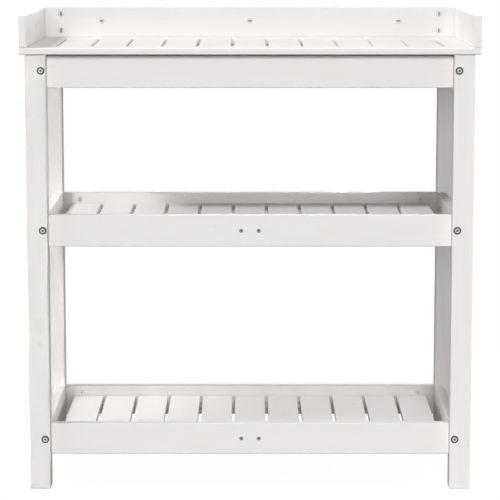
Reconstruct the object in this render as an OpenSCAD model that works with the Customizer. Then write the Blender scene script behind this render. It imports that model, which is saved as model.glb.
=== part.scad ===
// Potting bench of painted pine: four legs, twelve rails, two slatted shelves and a
// slatted worktop with a low board along its back and both sides.
// Millimetres, +Z up, front at -Y. The origin is on the floor, under the middle of the bench.

/* [Overall size] */
// Width over the worktop and the side boards
bench_w = 825; // [700:5:1100]
// Depth of the worktop from front to back
bench_d = 390; // [340:5:520]
// Height from the floor to the top of the side boards
bench_h = 865; // [780:5:1000]

/* [Timber] */
// Width of every rail, slat, lath and board
board_w = 58; // [50:1:64]
// Side of the square legs
leg_side = 38; // [34:1:46]
// Thickness of the rails
rail_t = 18; // [16:1:22]
// Thickness of the slats and of the worktop's laths
slat_t = 12; // [10:1:16]
// Thickness of the back board and the side boards
guard_t = 14; // [13:1:18]
// Side of the square battens under the shelf slats
shelf_batten = 20; // [16:1:22]
// Width of the two battens under the worktop
top_batten_w = 40; // [36:1:50]
// Thickness of the two battens under the worktop
top_batten_t = 18; // [15:1:22]
// Radius of the eased long edges
ease_r = 2; // [0.5:0.5:3]
// Bevel round the sawn ends
end_bevel = 0.8; // [0.4:0.2:1.6]
// Bevel round the foot and the top of each leg
foot_bevel = 2; // [1:0.5:4]

/* [Layout] */
// How far the worktop stands out past the legs at each side
overhang_side = 9.5; // [8:0.5:20]
// How far the worktop stands out past the legs at the front and the rear
overhang_end = 5; // [4:0.5:12]
// Height of the underside of the bottom long rails
bottom_rail_z = 61; // [30:1:140]
// Height of the underside of the middle long rails
middle_rail_z = 446; // [320:1:540]
// How much higher the side rails sit than the long rails
side_rail_lift = 3; // [2:0.5:5]
// How far the shelf slats lie below the top edge of their long rails
shelf_drop = 21; // [15:1:24]
// Smallest gap between neighbouring slats
slat_gap_min = 4; // [3:0.5:8]
// Clearance where a slat or a batten fits between two rails
fit_gap = 0.5; // [0.2:0.1:0.8]

/* [Bolts and barrel nuts] */
// Thread diameter of the bolts
bolt_d = 6; // [5:1:7]
// Play of a bolt in its hole, on the diameter
bolt_play = 1; // [0.6:0.2:2]
// Diameter of the flat heads on the legs and the side boards
head_d = 14; // [12:0.5:15]
// Diameter of the small heads under the worktop
small_head_d = 11; // [10.5:0.5:11.5]
// Height of the bolt heads
head_h = 2.2; // [2:0.2:3.2]
// Depth of the counterbores under the worktop
counterbore = 2.5; // [2:0.5:4]
// Diameter of the barrel nuts
nut_d = 10; // [9:0.5:12]
// How far the open end of a barrel nut lies below the wood's face
nut_sink = 0.5; // [0.2:0.1:2]
// Wood left behind a barrel nut
nut_wall = 2.5; // [2:0.5:3]
// Distance of a barrel nut from the end or edge it draws up
nut_in = 31.5; // [26:0.5:36]
// Length of bolt that stands out past its barrel nut
bolt_past = 5.5; // [2:0.5:8]
// Distance of the two bolts in a long rail from its middle line
rail_bolt_spread = 15; // [12:1:18]
// Distance of the two bolts in a back board's end from its middle line
guard_bolt_spread = 16; // [12:1:18]
// Distance of the outer back board bolts from the middle of the bench
back_bolt_x = 288; // [180:1:300]

/* [Wood screws] */
// Diameter of the screws
screw_d = 3.5; // [3:0.5:4]
// Diameter of the countersunk screw heads
screw_head_d = 7.6; // [6.5:0.1:8]
// Play of a screw in its pilot hole, on the diameter
screw_play = 0.2; // [0.1:0.1:0.3]
// Depth that a screw bites into a slat from below
slat_bite = 8; // [6:0.5:8.5]
// Depth that a screw bites into a rail's face
rail_bite = 12; // [8:1:14]
// Depth that a screw bites into end grain
end_bite = 30; // [20:1:36]
// Distance of the two middle screws of a shelf rail from the middle of the bench
middle_screw_x = 16; // [12:1:20]

/* [Hidden] */
$fn = 48;
paint = [0.91, 0.90, 0.88];
zinc = [0.72, 0.73, 0.74];
cut = 1;                                    // how far a cutting shape runs past the wood
sides = ["left", "right"];
ends = ["front", "rear"];
levels = ["bottom", "middle", "top"];

// Heights
worktop_z = bench_h - board_w;
leg_h = worktop_z - slat_t;
top_rail_z = leg_h - board_w - side_rail_lift;
rail_zs = [bottom_rail_z, middle_rail_z, top_rail_z];
function shelf_top(z) = z + board_w - shelf_drop;

// Places across the bench, measured from its middle
leg_out_x = bench_w/2 - overhang_side;
leg_in_x = leg_out_x - leg_side;
side_rail_x = leg_in_x + rail_t/2;
guard_in_x = bench_w/2 - guard_t;
guard_x = bench_w/2 - guard_t/2;
rail_nut_x = leg_in_x - nut_in;
nut_access = 3.5;                           // free wood kept beside a barrel nut
shelf_batten_x = rail_nut_x - nut_d/2 - nut_access;
top_batten_x = leg_in_x - fit_gap;

// Places from front to rear, measured from the middle of the bench
leg_out_y = bench_d/2 - overhang_end;
leg_in_y = leg_out_y - leg_side;
rail_ys = [-leg_in_y - rail_t/2, leg_out_y - rail_t/2];
lath_in_y = bench_d/2 - board_w;
shelf_front_y = rail_ys[0] + rail_t/2;
shelf_rear_y = rail_ys[1] - rail_t/2;
back_y = bench_d/2 - guard_t/2;
top_batten_ys = [-leg_in_y + fit_gap + top_batten_w/2, lath_in_y];
shelf_batten_ys = [shelf_front_y + shelf_batten/2, shelf_rear_y - shelf_batten/2];

// Slats: an odd number, so that one lies in the middle, and the shelves follow the worktop
slat_room = (bench_w + slat_gap_min)/(board_w + slat_gap_min);
top_slats = 2*floor((slat_room - 1)/2) + 1;
slat_pitch = (bench_w - board_w)/(top_slats - 1);
shelf_slats = 2*floor((leg_in_x - fit_gap - board_w/2)/slat_pitch) + 1;
function slat_x(i, count) = (i - (count - 1)/2)*slat_pitch;
function held_x(x, reach) = sign(x)*min(abs(x), reach);
slat_screw_edge = 6;                        // least distance of a slat's screw from a batten's end
rail_slot = 1.2;                            // width of the slot in a rail's barrel nut
guard_slot = 2.4;                           // and of the slot in a low board's
slot_l = 6;
slot_depth = 1.8;

// Fixings. A bolt is [seat, direction, length, distance of its nut, side the nut goes in from,
// half the thickness of the wood there, head diameter, depth of its counterbore, nut's slot].
frame_bolt_len = leg_side + nut_in + nut_d/2 + bolt_past;
guard_bolt_len = guard_t + nut_in + nut_d/2 + bolt_past;
rising_bolt_len = slat_t - counterbore + nut_in + nut_d/2 + bolt_past;

side_rail_bolts = [
    for (x = [-1, 1], y = [-1, 1], z = rail_zs)
        [[x*side_rail_x, y*leg_out_y, z + side_rail_lift + board_w/2], [0, -y, 0],
         frame_bolt_len, leg_side + nut_in, [-x, 0, 0], rail_t/2, head_d, 0, rail_slot]
];
long_rail_bolts = [
    for (x = [-1, 1], k = [0, 1], z = rail_zs, s = [-1, 1])
        [[x*leg_out_x, rail_ys[k], z + board_w/2 + s*rail_bolt_spread], [-x, 0, 0],
         frame_bolt_len, leg_side + nut_in, [0, 1 - 2*k, 0], rail_t/2, head_d, 0,
         rail_slot]
];
guard_end_bolts = [
    for (x = [-1, 1], s = [-1, 1])
        [[x*bench_w/2, back_y, worktop_z + board_w/2 + s*guard_bolt_spread], [-x, 0, 0],
         guard_bolt_len, guard_t + nut_in, [0, -1, 0], guard_t/2, head_d, 0,
         guard_slot]
];
rising_bolts = concat(
    [for (x = [-back_bolt_x, 0, back_bolt_x]) rising_bolt([x, back_y], [0, -1, 0])],
    [for (x = [-1, 1]) rising_bolt([x*guard_x, 0], [-x, 0, 0])]
);
function rising_bolt(at, nut_side) =
    [[at.x, at.y, leg_h + counterbore], [0, 0, 1], rising_bolt_len,
     slat_t - counterbore + nut_in, nut_side, guard_t/2, small_head_d, counterbore, guard_slot];
all_bolts = concat(side_rail_bolts, long_rail_bolts, guard_end_bolts, rising_bolts);

// A screw is [seat, direction, length]
middle_screws = [
    for (z = [bottom_rail_z, middle_rail_z], k = [0, 1], x = [-1, 1])
        [[x*middle_screw_x, rail_ys[k] + (2*k - 1)*rail_t/2, z + board_w/2], [0, 1 - 2*k, 0],
         rail_t + end_bite]
];
batten_rail_screws = [
    for (z = [bottom_rail_z, middle_rail_z], k = [0, 1], x = [-4.5, -1.5, 1.5, 4.5])
        [[held_x(x*slat_pitch, shelf_batten_x - 2*slat_screw_edge),
          shelf_batten_ys[k] + (1 - 2*k)*shelf_batten/2,
          shelf_top(z) - slat_t - shelf_batten/2], [0, 2*k - 1, 0], shelf_batten + rail_bite]
];
shelf_slat_screws = [
    for (z = [bottom_rail_z, middle_rail_z], y = shelf_batten_ys, i = [0 : shelf_slats - 1])
        [[held_x(slat_x(i, shelf_slats), shelf_batten_x - slat_screw_edge/2), y,
          shelf_top(z) - slat_t - shelf_batten], [0, 0, 1], shelf_batten + slat_bite]
];
worktop_screws = [
    for (k = [0, 1], i = [0 : top_slats - 1])
        worktop_screw(i, slat_screw_y(k))
];
lath_screws = [
    for (k = [0, 1], i = [0 : 2 : top_slats - 1])
        worktop_screw(i, lath_screw_y(k))
];
function worktop_screw(i, y) =
    [[held_x(slat_x(i, top_slats), top_batten_x - slat_screw_edge), y, leg_h - top_batten_t],
     [0, 0, 1], top_batten_t + slat_bite];
// Midway between the joint of lath and slats and the batten's edge on either side of it
function slat_screw_y(k) =
    k == 0 ? (-lath_in_y + top_batten_ys[0] + top_batten_w/2)/2
           : (lath_in_y + top_batten_ys[1] - top_batten_w/2)/2;
function lath_screw_y(k) =
    k == 0 ? (-lath_in_y + top_batten_ys[0] - top_batten_w/2)/2
           : (lath_in_y + top_batten_ys[1] + top_batten_w/2)/2;
batten_end_screws = [
    for (x = [-1, 1], y = top_batten_ys)
        [[x*(leg_in_x + rail_t), y, leg_h - top_batten_t/2], [-x, 0, 0], rail_t + end_bite]
];
all_screws = concat(middle_screws, batten_rail_screws, shelf_slat_screws, worktop_screws,
                    lath_screws, batten_end_screws);

function two_digits(n) = str(n < 10 ? "0" : "", n);

// Turns the Z axis to the direction d
function turn(d) = [acos(d.z), 0, atan2(d.x, -d.y)];

// Rectangle with rounded corners, from the origin
module eased_section(w, h) {
    translate([ease_r, 0]) square([w - 2*ease_r, h]);
    translate([0, ease_r]) square([w, h - 2*ease_r]);
    for (x = [ease_r, w - ease_r], y = [ease_r, h - ease_r])
        translate([x, y]) circle(ease_r);
}

// Outline that takes a bevel off both ends of a stick of width w and length l
module end_outline(w, l, bevel) {
    polygon([[bevel, 0], [w - bevel, 0], [w + cut, bevel + cut], [w + cut, l - bevel - cut],
             [w - bevel, l], [bevel, l], [-cut, l - bevel - cut], [-cut, bevel + cut]]);
}

// Stick that stands on the origin with its grain along Z
module stick(w, h, l, bevel) {
    intersection() {
        translate([0, 0, -cut]) linear_extrude(l + 2*cut) eased_section(w, h);
        translate([0, h + cut, 0]) rotate([90, 0, 0])
            linear_extrude(h + 2*cut) end_outline(w, l, bevel);
        translate([-cut, 0, 0]) rotate([90, 0, 90])
            linear_extrude(w + 2*cut) end_outline(h, l, bevel);
    }
}

// Board from corner lo to corner hi, with its grain along axis 0, 1 or 2
module board(lo, hi, grain, bevel = end_bevel) {
    s = hi - lo;
    color(paint) difference() {
        translate(lo)
            if (grain == 0) rotate([90, 0, 90]) stick(s.y, s.z, s.x, bevel);
            else if (grain == 1) translate([0, s.y, 0]) rotate([90, 0, 0]) stick(s.x, s.z, s.y, bevel);
            else stick(s.x, s.y, s.z, bevel);
        for (b = all_bolts) if (meets(b, lo, hi)) bolt_hole(b);
        for (s = all_screws) if (meets(s, lo, hi)) screw_hole(s);
    }
}

// True where the line of a fixing passes through the box from lo to hi
function meets(f, lo, hi) =
    let (a = f[0], b = f[0] + f[2]*f[1])
    min([for (k = [0 : 2]) min(hi[k] - min(a[k], b[k]), max(a[k], b[k]) - lo[k])]) > -cut/10;

// The blind end of a barrel nut, and its length from there
function nut_end(b) = b[0] + b[3]*b[1] - (b[5] - nut_wall)*b[4];
function nut_len(b) = 2*b[5] - nut_wall - nut_sink;

module bolt_hole(b) {
    translate(b[0]) rotate(turn(b[1])) {
        translate([0, 0, -cut]) cylinder(d = bolt_d + bolt_play, h = b[2] + 2*cut);
        if (b[7] > 0) translate([0, 0, -b[7] - cut]) cylinder(d = b[6] + bolt_play, h = b[7] + cut);
    }
    translate(nut_end(b)) rotate(turn(b[4]))
        cylinder(d = nut_d + bolt_play/5, h = 2*b[5] - nut_wall + cut);
}

module screw_hole(s) {
    neck = (screw_head_d - screw_d)/2;
    translate(s[0]) rotate(turn(s[1])) {
        cylinder(d1 = screw_head_d + screw_play, d2 = screw_d + screw_play, h = neck);
        translate([0, 0, -cut]) cylinder(d = screw_head_d + screw_play, h = cut);
        cylinder(d = screw_d + screw_play, h = s[2] + cut/2);
    }
}

// Bolt with a flat head, a turned bevel round it and a hexagon socket
module bolt(b) {
    rim = head_h/3;
    bevel = b[6]/5;
    socket = bolt_d*2/3;
    color(zinc) translate(b[0]) rotate(turn(b[1])) difference() {
        union() {
            cylinder(d = bolt_d, h = b[2]);
            translate([0, 0, -rim]) cylinder(d = b[6], h = rim);
            translate([0, 0, -head_h]) cylinder(d1 = b[6] - 2*bevel, d2 = b[6], h = head_h - rim);
        }
        translate([0, 0, -head_h - cut])
            cylinder(d = socket/cos(30), h = head_h + cut + socket/4, $fn = 6);
    }
}

// Barrel nut across the line of its bolt. The screwdriver slot pressed into its open end
// lies square to the bolt.
module barrel_nut(b) {
    color(zinc) difference() {
        translate(nut_end(b)) rotate(turn(b[4])) difference() {
            cylinder(d = nut_d, h = nut_len(b));
            rotate(b[1].z == 0 ? 90 : 0)
                translate([-slot_l/2, -b[8]/2, nut_len(b) - slot_depth])
                    cube([slot_l, b[8], slot_depth + cut]);
        }
        translate(b[0] + (b[3] - nut_d)*b[1]) rotate(turn(b[1]))
            cylinder(d = bolt_d + bolt_play/5, h = 2*nut_d);
    }
}

// Countersunk wood screw with a cross recess and a point
module screw(s) {
    neck = (screw_head_d - screw_d)/2;
    point = 2*screw_d;
    color(zinc) translate(s[0]) rotate(turn(s[1])) difference() {
        union() {
            cylinder(d1 = screw_head_d, d2 = screw_d, h = neck);
            cylinder(d = screw_d, h = s[2] - point);
            translate([0, 0, s[2] - point]) cylinder(d1 = screw_d, d2 = screw_d/8, h = point);
        }
        for (a = [0, 90]) rotate(a)
            translate([-screw_head_d/4, -screw_d/8, -cut])
                cube([screw_head_d/2, screw_d/4, cut + neck*0.8]);
    }
}

// Square leg; s and e are -1 or 1 for left or right and front or rear
module leg(s, e) {
    x = min(s*leg_in_x, s*leg_out_x);
    y = min(e*leg_in_y, e*leg_out_y);
    board([x, y, 0], [x + leg_side, y + leg_side, leg_h], 2, foot_bevel);
}

// Long rail of end k, 0 or 1, with its underside at height z
module long_rail(k, z) {
    board([-leg_in_x, rail_ys[k] - rail_t/2, z], [leg_in_x, rail_ys[k] + rail_t/2, z + board_w], 0);
}

// Side rail between a front and a rear leg, for the long rails at height z
module side_rail(s, z) {
    low = z + side_rail_lift;
    board([s*side_rail_x - rail_t/2, -leg_in_y, low],
          [s*side_rail_x + rail_t/2, leg_in_y, low + board_w], 1);
}

// Worktop lath along the front or the rear edge
module worktop_lath(e) {
    y = min(e*lath_in_y, e*bench_d/2);
    board([-bench_w/2, y, leg_h], [bench_w/2, y + board_w, worktop_z], 0);
}

// Worktop slat between the laths
module worktop_slat(i) {
    x = slat_x(i, top_slats);
    board([x - board_w/2, -lath_in_y, leg_h], [x + board_w/2, lath_in_y, worktop_z], 1);
}

// Shelf slat between the long rails at height z
module shelf_slat(i, z) {
    x = slat_x(i, shelf_slats);
    board([x - board_w/2, shelf_front_y + fit_gap, shelf_top(z) - slat_t],
          [x + board_w/2, shelf_rear_y - fit_gap, shelf_top(z)], 1);
}

// Board that stands on the worktop along its left or right edge
module side_board(s) {
    board([s*guard_x - guard_t/2, -bench_d/2, worktop_z],
          [s*guard_x + guard_t/2, bench_d/2, bench_h], 1);
}

// Board that stands on the worktop's rear edge, between the side boards
module back_board() {
    board([-guard_in_x, back_y - guard_t/2, worktop_z], [guard_in_x, back_y + guard_t/2, bench_h], 0);
}

// Battens that carry the slats of both shelves and of the worktop
module slat_battens() {
    for (z = [bottom_rail_z, middle_rail_z], y = shelf_batten_ys) {
        high = shelf_top(z) - slat_t;
        board([-shelf_batten_x, y - shelf_batten/2, high - shelf_batten],
              [shelf_batten_x, y + shelf_batten/2, high], 0);
    }
    for (y = top_batten_ys)
        board([-top_batten_x, y - top_batten_w/2, leg_h - top_batten_t],
              [top_batten_x, y + top_batten_w/2, leg_h], 0);
}

module bolts() {
    for (b = all_bolts) bolt(b);
}

module barrel_nuts() {
    for (b = all_bolts) barrel_nut(b);
}

module screws() {
    for (s = all_screws) screw(s);
}

for (e = [0, 1], s = [0, 1])
    leg(2*s - 1, 2*e - 1);
for (e = [0, 1], l = [0 : 2])
    long_rail(e, rail_zs[l]);
for (s = [0, 1], l = [0 : 2])
    side_rail(2*s - 1, rail_zs[l]);
for (e = [0, 1])
    worktop_lath(2*e - 1);
for (i = [0 : top_slats - 1])
    worktop_slat(i);
for (i = [0 : shelf_slats - 1])
    shelf_slat(i, middle_rail_z);
for (i = [0 : shelf_slats - 1])
    shelf_slat(i, bottom_rail_z);
side_board(-1);  // side_board_left
side_board(1);  // side_board_right
back_board();
slat_battens();
bolts();
barrel_nuts();
screws();
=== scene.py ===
"""Potting bench of white painted pine, on a pale studio floor.

Every board, bolt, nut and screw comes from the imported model. This script gives each board its
own painted grain and knots, finishes the zinc plated fixings, and sets floor, lamps and camera.
"""

import math

import bpy
import numpy as np
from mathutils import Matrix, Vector


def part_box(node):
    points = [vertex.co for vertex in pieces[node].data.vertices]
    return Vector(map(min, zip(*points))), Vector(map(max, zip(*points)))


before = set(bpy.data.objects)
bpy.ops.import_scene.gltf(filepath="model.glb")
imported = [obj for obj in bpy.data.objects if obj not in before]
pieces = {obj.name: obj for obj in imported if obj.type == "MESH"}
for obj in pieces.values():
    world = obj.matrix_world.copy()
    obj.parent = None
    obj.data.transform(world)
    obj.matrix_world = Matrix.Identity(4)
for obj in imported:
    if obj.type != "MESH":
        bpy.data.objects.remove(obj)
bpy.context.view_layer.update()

# Linear colours
PAINT = (0.825, 0.806, 0.795)         # brushed white paint
LATE_PAINT = (0.735, 0.690, 0.640)    # the same paint where it lies thin on the hard grain
KNOT_STAIN = (0.600, 0.530, 0.440)    # resin that shows through over a knot
BRIGHT_ZINC = (0.800, 0.800, 0.795)   # the barrel nuts' plating
ZINC = (0.720, 0.720, 0.720)          # and the bolts'
SCREW_ZINC = (0.330, 0.330, 0.335)
PAINTED_SHADE = (0.030, 0.030, 0.032)           # painted shade for the fixings' slots, the foot of their heads, their bevels and the turned sides of proud heads

# The log that a board is cut from, in metres
PITH_ASIDE = 0.03                     # how far to either side of the board's middle the pith lies
PITH_DEPTH = (0.018, 0.060)           # how far above or below it
PITH_WANDER = 0.03                    # how far the pith strays along the board
RING_RIPPLE = 0.0022                  # waves in the rings
RING_SPACING = (0.0030, 0.0042)       # a year's growth
KNOT_STRETCH = 1.4                    # a knot's length over its breadth
KNOT_PUSH = 1.1                       # how far rings bend round a knot, in its own radii

# A head counts as proud of a leg's face from the first of these to the second, in metres beyond it
PROUD = (0.0001, 0.0003)

FIXINGS = ("bolts", "barrel_nuts", "screws")


# Nodes ---------------------------------------------------------------------------------------

class Signal:
    """One output of a node. Signs between signals and numbers become Math nodes."""

    def __init__(self, tree, socket):
        self.tree, self.socket = tree, socket

    def __add__(self, b):
        return self.tree.maths("ADD", self, b)

    def __radd__(self, a):
        return self.tree.maths("ADD", a, self)

    def __sub__(self, b):
        return self.tree.maths("SUBTRACT", self, b)

    def __rsub__(self, a):
        return self.tree.maths("SUBTRACT", a, self)

    def __mul__(self, b):
        return self.tree.maths("MULTIPLY", self, b)

    def __rmul__(self, a):
        return self.tree.maths("MULTIPLY", a, self)

    def __truediv__(self, b):
        return self.tree.maths("DIVIDE", self, b)

    def __rtruediv__(self, a):
        return self.tree.maths("DIVIDE", a, self)

    def __pow__(self, b):
        return self.tree.maths("POWER", self, b)

    def __rpow__(self, a):
        return self.tree.maths("POWER", a, self)


class Tree:
    """The nodes of one material, or of the world."""

    def __init__(self, owner):
        owner.use_nodes = True
        self.owner, self.nodes, self.links = owner, owner.node_tree.nodes, owner.node_tree.links
        self.nodes.clear()

    def add(self, kind, settings=None, inputs=None, output=0):
        """Adds a node: its settings first, then a number, colour or link on each named socket."""
        node = self.nodes.new("ShaderNode" + kind)
        for name, value in (settings or {}).items():
            setattr(node, name, value)
        for key, value in (inputs or {}).items():
            if isinstance(value, Signal):
                self.links.new(value.socket, node.inputs[key])
            else:
                node.inputs[key].default_value = value
        return Signal(self, node.outputs[output]) if node.outputs else None

    def maths(self, operation, *values):
        """A Math node on one or two signals or numbers."""
        return self.add("Math", {"operation": operation}, dict(enumerate(values)))

    def size(self, value):
        return self.maths("ABSOLUTE", value)

    def larger(self, a, b):
        return self.maths("MAXIMUM", a, b)

    def root(self, value):
        return self.maths("SQRT", value)

    def parts(self, vector):
        """The three parts of a vector, each a signal."""
        node = self.add("SeparateXYZ", inputs={0: vector}).socket.node
        return [Signal(self, socket) for socket in node.outputs]

    def place(self):
        """Object coordinates as three signals, in metres."""
        return self.parts(self.add("TexCoord", output="Object"))

    def point(self, x, y, z):
        return self.add("CombineXYZ", inputs={0: x, 1: y, 2: z})

    def noise(self, at, scale, detail=2.0, rough=0.5):
        """Smooth noise from 0 to 1 at a point."""
        return self.add("TexNoise", {"noise_dimensions": "3D"},
                        {"Vector": at, "Scale": scale, "Detail": detail, "Roughness": rough})

    def step(self, value, low, high):
        """0 below low and 1 above high, with a smooth rise between."""
        return self.add("MapRange", {"interpolation_type": "SMOOTHSTEP"},
                        {"Value": value, "From Min": low, "From Max": high})

    def blend(self, amount, a, b):
        """Colour a where amount is 0 and colour b where it is 1."""
        a, b = ((*c, 1.0) if isinstance(c, tuple) else c for c in (a, b))
        return self.add("Mix", {"data_type": "RGBA"}, {0: amount, 6: a, 7: b}, 2)

    def bump(self, height, strength, depth):
        """Relief from a height between 0 and 1, that many metres deep."""
        return self.add("Bump", inputs={"Strength": strength, "Distance": depth, "Height": height})

    def principled(self, **inputs):
        """Ends the material in a Principled shader."""
        names = {k.replace("_", " "): v for k, v in inputs.items()}
        shader = self.add("BsdfPrincipled", inputs=names)
        self.add("OutputMaterial", inputs={"Surface": shader})
        return self.owner


# Painted pine --------------------------------------------------------------------------------

def ring_radius(tree, w, t, slow, ripple, rng):
    """Distance from the pith: the root of (w - pw + b)^2 + (t - pt + 0.6 b)^2, where b is the
    pith's slow wander along the board, plus the rings' own ripple."""
    pith_w = rng.uniform(-PITH_ASIDE, PITH_ASIDE)
    pith_t = rng.choice([-1, 1]) * rng.uniform(*PITH_DEPTH)
    bend = (slow - 0.5) * PITH_WANDER
    u = w - pith_w + bend
    v = t - pith_t + bend * 0.6
    return tree.root(u * u + v * v) + (ripple - 0.5) * RING_RIPPLE


def knot_distance(tree, along, across, knot):
    """Distance from a knot's middle over its radius: the root of ((a - a0)/1.4)^2 + (w - w0)^2."""
    a0, w0, radius = knot
    a = (along - a0) * (1 / (KNOT_STRETCH * radius))
    w = (across - w0) * (1 / radius)
    return tree.root(a * a + w * w)


def set_knots(tree, radius, knots, a, w, ripple, worn):
    """Pushes the rings aside round each knot, by the knot's radius over 1 + distance^3, and marks
    its core and its worn rim. Returns the rings' new radius and the marks, or None for no knot."""
    stain = None
    for knot in knots:
        near = knot_distance(tree, a, w, knot) + (ripple - 0.5)
        push = 1 / (1 + near * near * near)
        radius = radius + push * (knot[2] * KNOT_PUSH)
        core = 1 - tree.step(near, 0.3, 1.0)
        rim = tree.step(near, 0.65, 0.9) * (1 - tree.step(near, 0.9, 1.15))
        mark = core * 0.35 + rim * (0.1 + worn * 0.5)
        stain = mark if stain is None else stain + mark
    return radius, stain


def painted_pine(name, grain, width, middle, knots, rng):
    """Brushed white paint on pine. Growth rings are circles round a pith that wanders slowly
    along the board, so a face shows long flames and an end shows arcs; knots push them aside."""
    tree = Tree(bpy.data.materials.new(name))
    place = tree.place()
    shift = rng.uniform(-9, 9)
    a, w, t = (place[k] - middle[k] for k in (grain, width, 3 - grain - width))
    slow = tree.noise(tree.point(a * 1.1 + shift, w * 3, t * 3), 2.2, 2.0)
    ripple = tree.noise(tree.point(a * 4 + shift, w * 16, t * 16), 3.0, 2.0)
    worn = tree.step(tree.noise(tree.point(a * 3, w * 9 + shift, t * 9), 2.0, 3.0), 0.35, 0.75)
    radius = ring_radius(tree, w, t, slow, ripple, rng)
    radius, stain = set_knots(tree, radius, knots, a, w, ripple, worn)
    turn = tree.maths("FRACT", radius * (1 / rng.uniform(*RING_SPACING)))
    late = turn ** 2.5 * (1 - tree.step(turn, 0.86, 1.0))
    fibre = tree.noise(tree.point(a * 9 + shift, w * 330, t * 330), 1.0, 3.0, 0.6)
    brush = tree.noise(tree.point(a * 26, w * 620 + shift, t * 620), 1.0, 2.0, 0.6)
    thin = late * (worn * 0.16 + 0.10) + (fibre - 0.45) * 0.10
    tone = 1 + rng.uniform(-0.010, 0.010)
    colour = tree.blend(thin, tuple(c * tone for c in PAINT), LATE_PAINT)
    height = late * 0.5 + fibre * 0.45 + brush * 0.35
    if stain is not None:
        colour = tree.blend(stain * 0.6, colour, KNOT_STAIN)
        height = height - stain * 0.6
    gloss = 0.60 + (brush - 0.5) * 0.16 + late * 0.05
    return tree.principled(Base_Color=colour, Roughness=gloss, Specular_IOR_Level=0.3,
                           Normal=tree.bump(height, 0.35, 0.0004))


# Knots that show from the front, as (along, across, radius) from the middle of the board. One
# that lies beyond the board's edge only bends its grain.
FRONT_KNOTS = {
    "leg_front_left": [(-0.094, 0.001, 0.0095), (-0.128, 0.002, 0.0050), (0.288, 0.005, 0.0032)],
    "rail_front_bottom": [(0.068, 0.046, 0.011), (0.226, 0.045, 0.010)],
    "leg_front_right": [(-0.318, 0.016, 0.004)],
    "bottom_slat_07": [(-0.012, 0.003, 0.005)],
    "rail_front_middle": [(-0.063, 0.008, 0.003)], "rail_front_top": [], "back_board": [],
    "worktop_lath_front": [], "side_board_left": [], "side_board_right": [],
}


def board_knots(name, length, breadth, rng):
    """The board's own knots: none, one or two small ones, well clear of its ends."""
    if name in FRONT_KNOTS:
        return FRONT_KNOTS[name]
    count = int(rng.integers(0, 3)) if name[:4] in ("leg_", "rail") else int(rng.integers(0, 2))
    return [(rng.uniform(-0.38, 0.38) * length, rng.uniform(-0.4, 0.4) * breadth,
             rng.uniform(0.003, 0.0065)) for _ in range(count)]


def finish_boards():
    """Gives each board its own cut of the painted pine, with the grain along its length."""
    for number, name in enumerate(sorted(set(pieces) - set(FIXINGS))):
        rng = np.random.default_rng(100 + number)
        low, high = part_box(name)
        size, middle = high - low, (low + high) / 2
        grain, width = (int(k) for k in np.argsort([-s for s in size])[:2])
        if name.startswith("leg_"):         # square, so its breadth is the one across the front
            width = 0
        knots = board_knots(name, size[grain], size[width], rng)
        if name == "slat_battens":          # six long pieces in one, laid along the bench
            grain, width, knots = 0, 1, []
        pine = painted_pine("pine_" + name, grain, width, middle, knots, rng)
        pieces[name].material_slots[0].material = pine


# Zinc plated steel ---------------------------------------------------------------------------

def crevice_shade(tree, reach):
    """Painted shade: 1 deep in a slot or at the foot of a head, 0 in the open: how much of the sky
    over the surface is shut off by metal or wood nearer than the reach, which darkens the plate
    there."""
    open_sky = tree.add("AmbientOcclusion", {"samples": 8}, {"Distance": reach}, "AO")
    return 1 - tree.step(open_sky, 0.40, 0.88)


def facing(tree):
    """How far the surface faces along each axis, from 0 to 1."""
    normal = tree.add("NewGeometry", output="True Normal")
    return [tree.size(part) for part in tree.parts(normal)]


def bevelled(tree):
    """1 on a turned bevel and 0 on a face square to an axis, where the longest part of the
    normal is 1. The plate is painted dark there, as painted shade."""
    x, y, z = facing(tree)
    return 1 - tree.step(tree.larger(tree.larger(x, y), z), 0.87, 0.97)


def turned_side(tree):
    """1 on the turned side of a head that stands proud of the legs: beyond their outer faces the
    normal lies across, and beyond their front and rear faces it lies across the other way. The
    plate is painted dark there, as painted shade."""
    low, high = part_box("leg_front_right")
    outer, front = float(high[0]), float(-low[1])
    (x, y, _), (across, forward, _) = tree.place(), facing(tree)
    beyond_side = tree.step(tree.size(x), outer + PROUD[0], outer + PROUD[1])
    beyond_front = tree.step(tree.size(y), front + PROUD[0], front + PROUD[1])
    return tree.larger(beyond_side * (1 - across), beyond_front * (1 - forward))


def zinc_plate(name, bright, scale, polish):
    """Zinc plate: crystals a few tenths of a millimetre across, duller in cloudy patches, with
    painted shade in its slots, at the foot of its heads, on its bevels and its turned sides."""
    tree = Tree(bpy.data.materials.new(name))
    here = tree.add("TexCoord", output="Object")
    cloud = tree.noise(here, scale * 0.35, 3.0)
    crystal = tree.add("TexVoronoi", {"feature": "F1"}, {"Vector": here, "Scale": scale * 6})
    grit = tree.noise(here, scale * 18, 2.0, 0.7)
    dull = tree.step(cloud, 0.42, 0.68) * 0.7 + crystal * 0.2
    plate = tree.blend(dull, bright, tuple(c * 0.78 for c in bright))
    # Painted shade: the plate turns dark in slots, at the foot of heads, on bevels and on the
    # turned sides of proud heads
    dark = tree.larger(crevice_shade(tree, 0.003), bevelled(tree))
    # painted shade, at six tenths, on the turned sides of heads proud of the legs
    dark = tree.larger(dark, turned_side(tree) * 0.6)
    rough = polish + dull * 0.16 + (grit - 0.5) * 0.12 + dark * 0.1
    return tree.principled(Base_Color=tree.blend(dark, plate, PAINTED_SHADE), Metallic=1.0,
                           Roughness=rough, Normal=tree.bump(grit, 0.25, 0.0001))


# The fixings: plate colour, crystals to the metre, roughness
ZINC_WORK = {
    "bolts": (ZINC, 700, 0.26),
    "barrel_nuts": (BRIGHT_ZINC, 900, 0.34),
    "screws": (SCREW_ZINC, 1200, 0.24),
}


def finish_fixings():
    for name, work in ZINC_WORK.items():
        pieces[name].material_slots[0].material = zinc_plate("zinc_" + name, *work)


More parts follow.
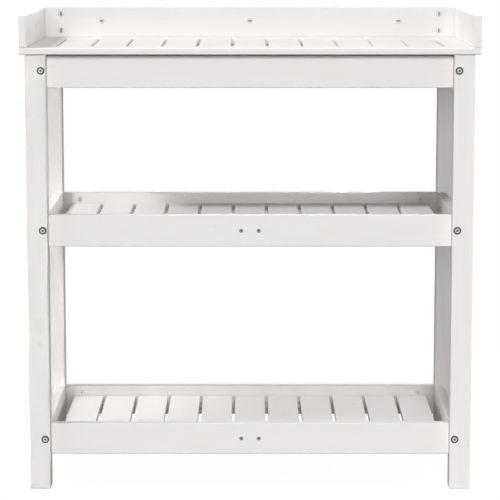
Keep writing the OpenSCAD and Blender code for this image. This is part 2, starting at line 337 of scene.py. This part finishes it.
# Studio --------------------------------------------------------------------------------------

WHITE_TO_THE_EYE = ("Is Camera Ray", "Is Glossy Ray", "Is Transmission Ray")

AIR = 0.16                  # the world's light on a surface
FLOOR_HALF = 30.0           # metres from the bench to the floor's edge
FLOOR_PAINT = 0.8
FLOOR_OWN = 0.6             # share of the seen floor that is its own white; the rest is lit
# The strength of that share, at which both together are white in the open
FLOOR_GLOW = (1 - (1 - FLOOR_OWN) * FLOOR_PAINT * AIR) / FLOOR_OWN

EYE = (0.0, -4.271, 1.035)  # a little above the worktop, four metres in front
LOOK_DOWN = 8.257           # degrees
LENS = 164.4                # millimetres
FAR = 200                   # metres, beyond the floor's edge


def seen_directly(tree):
    """1 for what the camera, a gloss or a glass shows, and 0 for light on its way to a surface."""
    camera_ray, glossy, through = (tree.add("LightPath", output=n) for n in WHITE_TO_THE_EYE)
    return tree.maths("MINIMUM", camera_ray + glossy + through, 1.0)


def studio_air():
    """World: an even light all round, and plain white where it is seen."""
    world = bpy.data.worlds.new("studio_air")
    bpy.context.scene.world = world
    tree = Tree(world)
    strength = AIR + seen_directly(tree) * (1.0 - AIR)
    light = tree.add("Background", inputs={"Color": (1, 1, 1, 1), "Strength": strength})
    tree.add("OutputWorld", inputs={"Surface": light})


def studio_floor():
    """White floor: mostly its own white where it is seen, and the rest takes the bench's shadow."""
    mesh = bpy.data.meshes.new("floor")
    corners = np.array([[-1, -1, 0], [1, -1, 0], [1, 1, 0], [-1, 1, 0]]) * FLOOR_HALF
    mesh.from_pydata(corners.tolist(), [], [(0, 1, 2, 3)])
    floor = bpy.data.objects.new("floor", mesh)
    bpy.context.scene.collection.objects.link(floor)
    tree = Tree(bpy.data.materials.new("floor_white"))
    lit = tree.add("BsdfDiffuse", inputs={"Color": (FLOOR_PAINT, FLOOR_PAINT, FLOOR_PAINT, 1)})
    own = tree.add("Emission", inputs={"Color": (1, 1, 1, 1), "Strength": FLOOR_GLOW})
    surface = tree.add("MixShader", inputs={0: seen_directly(tree) * FLOOR_OWN, 1: lit, 2: own})
    tree.add("OutputMaterial", inputs={"Surface": surface})
    mesh.materials.append(tree.owner)


# Which pieces a lamp may light, by how their names start
GROUPS = {
    "worktop": ("worktop_",),
    "back_board": ("back_board",),
    "side_boards": ("side_board_",),
    "front": ("leg_front_", "rail_front_"),
    "middle_shelf": ("middle_slat_",),
    "left_rails": ("rail_left_middle", "rail_left_top"),
    "right_rails": ("rail_right_middle", "rail_right_top"),
    "low_shelf": ("bottom_slat_", "rail_left_bottom", "rail_right_bottom"),
    "left_low_rail": ("rail_left_bottom",),
    "rear_rails": ("rail_rear_middle", "rail_rear_top"),
    "rear_low_rail": ("rail_rear_bottom",),
    "rear_legs": ("leg_rear_",),
    "battens": ("slat_battens",),
    "fixings": FIXINGS,
    "left_side": ("rail_left_", "side_board_left", "leg_front_left", "leg_rear_left"),
    "right_side": ("rail_right_", "side_board_right", "leg_front_right", "leg_rear_right"),
    "back_side": ("back_board", "rail_rear_middle", "rail_rear_top", "leg_rear_"),
}

# Lamps: degrees round from the front to the left, degrees up, width in degrees, and the level
# that each group of boards gets from it, where 1 lights a facing surface to its own colour.
LAMPS = {
    "key": (45, 41, 8, {
        "right_rails": 0.35, "rear_rails": 0.54, "rear_low_rail": 0.02, "rear_legs": 0.72,
        "fixings": 0.25}),
    "low_key": (40, 33.6, 6, {"middle_shelf": 0.70}),
    "soft_left": (75, 48, 22, {
        "back_board": 0.72, "side_boards": 0.27, "worktop": 0.75, "front": 0.27,
        "middle_shelf": 0.46, "left_rails": 0.81, "low_shelf": 0.37, "left_low_rail": 0.25,
        "fixings": 0.15}),
    "left": (60, 20, 30, {
        "side_boards": 0.46, "front": 0.05, "left_rails": 0.50, "low_shelf": 0.21,
        "left_low_rail": 0.25, "rear_low_rail": 0.03}),
    "high_front": (0, 45.7, 7, {"side_boards": 0.75, "left_rails": 0.80, "low_shelf": 0.30}),
    "low_front": (0, 19, 10, {
        "back_board": 0.33, "worktop": 0.20, "front": 0.54, "left_rails": 0.60,
        "low_shelf": 0.75, "rear_rails": 0.04, "rear_low_rail": 0.29, "battens": 0.30}),
    "front": (0, 6, 30, {
        "worktop": 0.49, "front": 0.27, "left_rails": 0.60, "low_shelf": 0.03,
        "rear_rails": 0.13, "rear_legs": 0.58}),
    "right": (-80, 15, 40, {
        "back_board": 0.60, "side_boards": 0.25, "worktop": 0.50, "front": 0.09,
        "left_rails": 0.51, "low_shelf": 0.32, "rear_rails": 1.00, "rear_low_rail": 0.62}),
    "rear_left": (200, 12, 30, {
        "side_boards": 0.40, "worktop": 0.16, "front": 0.10, "middle_shelf": 0.15,
        "right_rails": 0.30, "rear_rails": 0.10, "rear_low_rail": 0.88, "fixings": 0.20}),
    "left_flank": (90, 5, 8, {"left_side": 0.40}),
    "right_flank": (-90, 5, 8, {"right_side": 0.50}),
    "behind": (180, 5, 8, {"back_side": 0.55, "front": 0.25}),
}


def collection_of(label, chosen):
    """A collection of the pieces whose names are chosen, for a lamp to light or be shaded by."""
    made = bpy.data.collections.new(label)
    for name, piece in pieces.items():
        if chosen(name):
            made.objects.link(piece)
    return made


def lamp(name, azimuth, elevation, width, level, receivers):
    """A far, soft lamp: a disc of that width in degrees, which lights only its receivers."""
    light = bpy.data.lights.new(name, "SUN")
    light.energy, light.angle = math.pi * level, math.radians(width)
    a, e = math.radians(azimuth), math.radians(elevation)
    towards = Vector((-math.sin(a) * math.cos(e), -math.cos(a) * math.cos(e), math.sin(e)))
    held = bpy.data.objects.new(name, light)
    held.rotation_euler = towards.to_track_quat("Z", "Y").to_euler()
    held.location = towards * 5
    bpy.context.scene.collection.objects.link(held)
    held.light_linking.receiver_collection = receivers
    return held


def hang_lamps():
    """Hangs every lamp for every group. The legs don't shade the shelf from the low key lamp, so
    that no leg's shadow crosses its slats."""
    lit = {group: collection_of("lit_" + group, lambda name: name.startswith(starts))
           for group, starts in GROUPS.items()}
    no_legs = collection_of("all_but_legs", lambda name: not name.startswith("leg_"))
    for name, (azimuth, elevation, width, levels) in LAMPS.items():
        for group, level in levels.items():
            held = lamp(f"{name}_{group}", azimuth, elevation, width, level, lit[group])
            if name == "low_key":
                held.light_linking.blocker_collection = no_legs


def camera():
    lens = bpy.data.cameras.new("camera")
    lens.lens, lens.clip_end = LENS, FAR
    held = bpy.data.objects.new("camera", lens)
    held.location = EYE
    held.rotation_euler = (math.radians(90 - LOOK_DOWN), 0, 0)
    bpy.context.scene.collection.objects.link(held)
    bpy.context.scene.camera = held


finish_boards()
finish_fixings()
studio_air()
studio_floor()
hang_lamps()
camera()
bpy.context.scene.view_settings.view_transform = "Standard"
